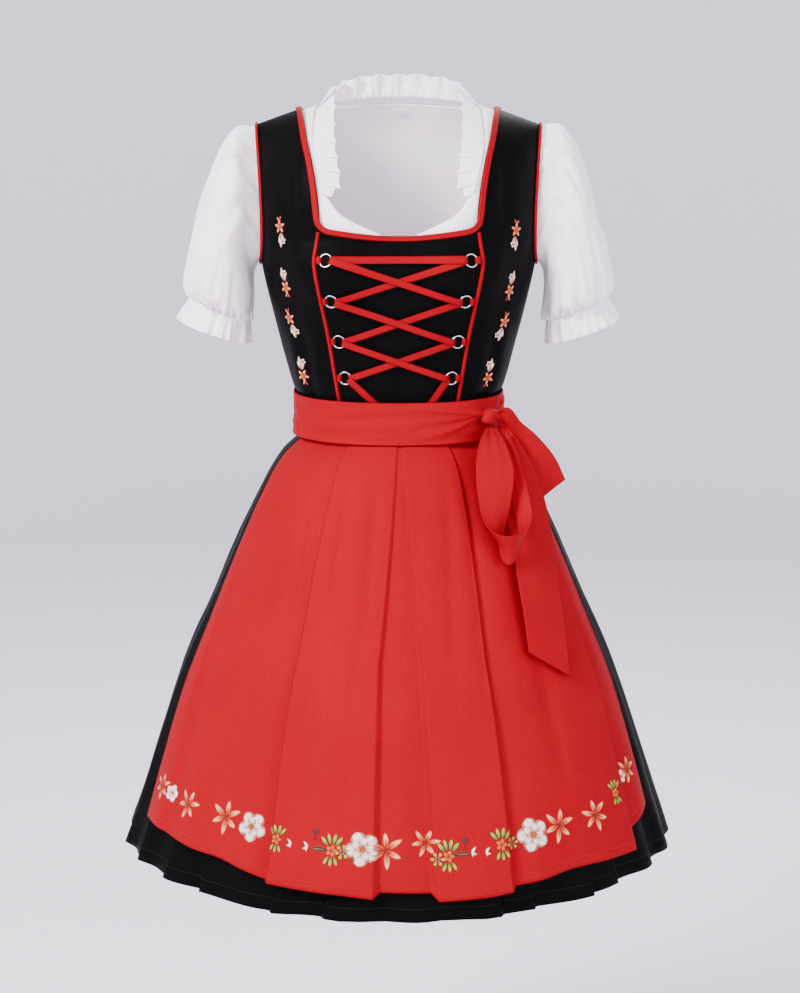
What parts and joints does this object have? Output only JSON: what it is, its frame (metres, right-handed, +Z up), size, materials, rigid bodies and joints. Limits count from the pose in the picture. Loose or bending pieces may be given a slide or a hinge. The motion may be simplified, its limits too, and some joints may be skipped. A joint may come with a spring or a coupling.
{
  "type": "dirndl",
  "caption": "Worn-form dirndl: laced bodice over a puff-sleeved blouse, pleated skirt, and an apron with a sash tied at the front left.",
  "frame": {"origin": "midway between the two shoulder straps, where the dress hangs on the wearer's shoulders", "axes": "+Z up, the front of the dress faces -Y, +X is the wearer's left"},
  "size_m": [0.7168, 0.6036, 1.0048],
  "materials": {
    "cotton_white": "soft woven cotton with a slight sheen",
    "label_white": "smooth woven tape",
    "satin_red_trim": "satin binding",
    "ring_metal": "polished",
    "lace_red": "flat satin ribbon",
    "satin_red": "satin with a soft sheen",
    "satin_red_sash": "satin with a soft sheen",
    "satin_black": "black satin, slight sheen",
    "satin_black_skirt": "black satin, slight sheen"
  },
  "bodies": {
    "root": {"bodice_front_panel": "satin_black", "bodice_side_front_right": "satin_black", "bodice_back_right": "satin_black", "bodice_side_front_left": "satin_black", "bodice_back_left": "satin_black", "neck_binding_front": "satin_red_trim", "neck_binding_back": "satin_red_trim", "armhole_binding_right": "satin_red_trim", "armhole_binding_left": "satin_red_trim", "princess_piping_right": "satin_red_trim", "princess_piping_left": "satin_red_trim", "ring_right_1": "ring_metal", "ring_tab_right_1": "satin_red_trim", "ring_right_2": "ring_metal", "ring_tab_right_2": "satin_red_trim", "ring_right_3": "ring_metal", "ring_tab_right_3": "satin_red_trim", "ring_right_4": "ring_metal", "ring_tab_right_4": "satin_red_trim", "ring_left_1": "ring_metal", "ring_tab_left_1": "satin_red_trim", "ring_left_2": "ring_metal", "ring_tab_left_2": "satin_red_trim", "ring_left_3": "ring_metal", "ring_tab_left_3": "satin_red_trim", "ring_left_4": "ring_metal", "ring_tab_left_4": "satin_red_trim", "lace_top_bar": "lace_red", "lace_cross_under_1": "lace_red", "lace_cross_over_1": "lace_red", "lace_cross_under_2": "lace_red", "lace_cross_over_2": "lace_red", "lace_cross_under_3": "lace_red", "lace_cross_over_3": "lace_red", "lace_end_right": "lace_red", "lace_end_left": "lace_red", "blouse_front": "cotton_white", "blouse_back": "cotton_white", "blouse_neck_band": "cotton_white", "blouse_neck_ruffle_back": "cotton_white", "blouse_neck_ruffle_front_right": "cotton_white", "blouse_neck_ruffle_front_left": "cotton_white", "size_label": "label_white", "blouse_sleeve_right": "cotton_white", "blouse_cuff_frill_right": "cotton_white", "blouse_sleeve_left": "cotton_white", "blouse_cuff_frill_left": "cotton_white", "skirt_front": "satin_black_skirt", "skirt_back": "satin_black_skirt", "apron_panel": "satin_red", "sash_front": "satin_red_sash", "sash_tie_back": "satin_red_sash", "bow_loop": "satin_red_sash", "bow_tail_long": "satin_red_sash", "bow_tail_short": "satin_red_sash", "bow_knot": "satin_red_sash"}
  },
  "joints": []
}
